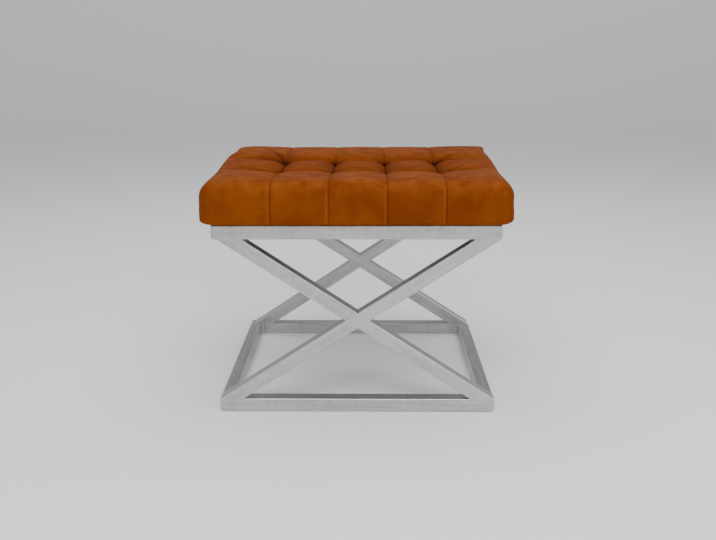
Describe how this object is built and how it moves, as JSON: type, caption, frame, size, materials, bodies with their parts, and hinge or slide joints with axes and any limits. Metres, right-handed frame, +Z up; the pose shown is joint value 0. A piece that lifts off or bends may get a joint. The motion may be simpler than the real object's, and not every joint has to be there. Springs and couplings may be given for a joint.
{
  "type": "x frame stool",
  "caption": "Low stool with a welded square-tube frame, flat crossed legs between upper and lower rectangles, and a tufted leather cushion.",
  "frame": {"origin": "on the floor, at the middle of the stool's footprint", "axes": "+Z up; +X to the right along the long side of the seat, seen from the front; +Y away from the viewer, through the front X frame to the rear one"},
  "size_m": [0.568, 0.466, 0.447],
  "materials": {
    "stainless_tube": "satin brushed, corners slightly rounded",
    "ground_weld": "ground and brushed flush with the tube",
    "zinc_steel": "zinc plated",
    "nylon": "clear nylon, matt",
    "plywood": "sawn edges, bare",
    "foam": "cut polyurethane foam",
    "tan_leather": "aniline tan leather, soft sheen, darker in the tufts",
    "dust_cloth": "black non-woven cloth",
    "waxed_twine": "waxed brown twine"
  },
  "bodies": {
    "root": {"front_top_rail": "stainless_tube", "rear_top_rail": "stainless_tube", "left_top_rail": "stainless_tube", "right_top_rail": "stainless_tube", "front_bottom_rail": "stainless_tube", "rear_bottom_rail": "stainless_tube", "left_bottom_rail": "stainless_tube", "right_bottom_rail": "stainless_tube", "front_through_leg": "stainless_tube", "front_upper_half_leg": "stainless_tube", "front_lower_half_leg": "stainless_tube", "rear_through_leg": "stainless_tube", "rear_upper_half_leg": "stainless_tube", "rear_lower_half_leg": "stainless_tube", "front_end_caps": "stainless_tube", "rear_end_caps": "stainless_tube", "front_flush_welds": "ground_weld", "rear_flush_welds": "ground_weld", "corner_welds": "ground_weld", "foot_glides": "nylon", "seat_board": "plywood", "foam_core": "foam", "leather_cover": "tan_leather", "dust_cover": "dust_cloth", "tuft_ties": "waxed_twine", "tie_washers": "nylon", "tee_nuts": "zinc_steel", "screw_washers": "zinc_steel", "seat_screws": "zinc_steel"}
  },
  "joints": []
}
